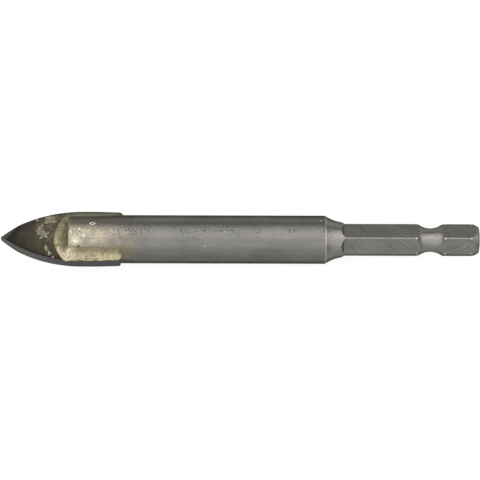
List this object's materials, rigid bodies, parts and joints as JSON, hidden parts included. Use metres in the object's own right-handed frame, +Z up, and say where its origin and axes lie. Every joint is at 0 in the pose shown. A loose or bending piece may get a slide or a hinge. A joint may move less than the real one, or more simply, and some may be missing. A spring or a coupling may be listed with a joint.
{
  "type": "tile drill bit",
  "caption": "Drill bit for tile and glass: a spear-shaped carbide tip brazed into a round steel body, with a hexagonal quick-change shank.",
  "frame": {"origin": "on the surface that the bit lies on, below the middle of the bit's box", "axes": "+X along the bit from its point to its driven end, +Z up; the tip's faces lean 35.8 degrees from level, as the bit lies"},
  "size_m": [0.1, 0.0114, 0.0101],
  "materials": {
    "turned_steel": "satin turned body and milled flats, lightly pitted",
    "ground_carbide": "dark sintered faces with grey ground flanks",
    "braze_metal": "rough pale filler metal with flux stains"
  },
  "bodies": {
    "root": {"shank": "turned_steel", "carbide_tip": "ground_carbide", "braze": "braze_metal"}
  },
  "joints": []
}
